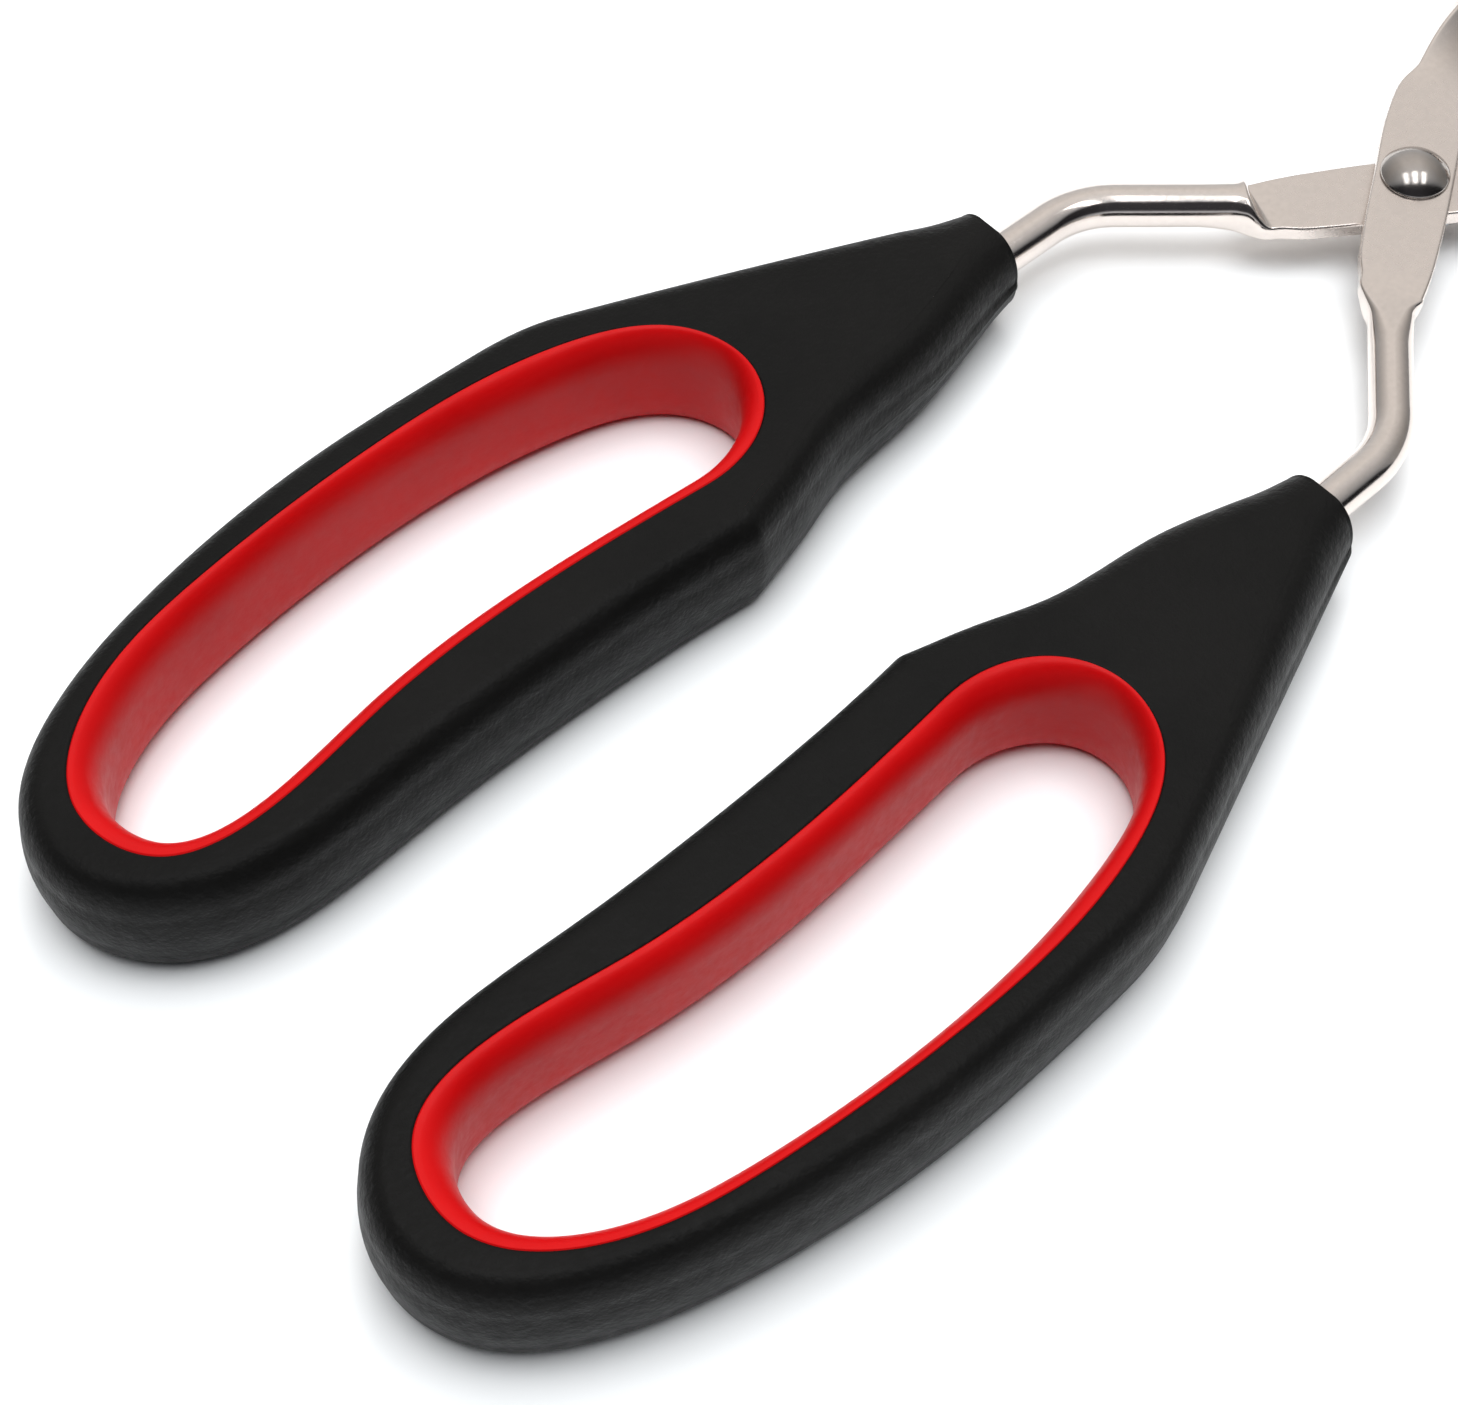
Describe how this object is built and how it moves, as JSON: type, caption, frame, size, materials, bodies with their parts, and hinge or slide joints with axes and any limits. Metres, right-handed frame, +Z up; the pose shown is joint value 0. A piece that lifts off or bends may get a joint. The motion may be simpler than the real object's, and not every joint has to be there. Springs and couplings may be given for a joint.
{
  "type": "kitchen tongs",
  "caption": "Scissor-action kitchen tongs with finger loops, soft liners, pressed steel arms, a domed pivot rivet and a return spring.",
  "frame": {"origin": "centre of the bounding box's base; the tongs lie on Z = 0", "axes": "+X along the tongs from the finger loops to the jaws, +Y to the left, +Z up along the pivot axis"},
  "size_m": [0.3052, 0.1204, 0.018],
  "materials": {
    "arm_steel": "satin tumbled stainless",
    "rivet_steel": "polished stainless",
    "spring_steel": "drawn wire",
    "washer_plastic": "natural moulded plastic",
    "black_moulding": "fine matte grain",
    "red_liner": "soft satin"
  },
  "bodies": {
    "left_half": {"lower_arm": "arm_steel", "left_handle": "black_moulding", "left_liner": "red_liner", "friction_washer": "washer_plastic", "opening_spring": "spring_steel"},
    "right_half": {"upper_arm": "arm_steel", "right_handle": "black_moulding", "right_liner": "red_liner", "pivot_rivet": "rivet_steel", "retaining_washer": "rivet_steel"}
  },
  "joints": [
    {"name": "pivot_hinge", "type": "hinge", "parent": "left_half", "child": "right_half", "pos_m": [0.05257, 0, 0.009], "axis": [0, 0, 1], "range_deg": [-7.6, 15], "stiffness_Nm_per_rad": 0.6, "deforming": ["opening_spring"]}
  ]
}
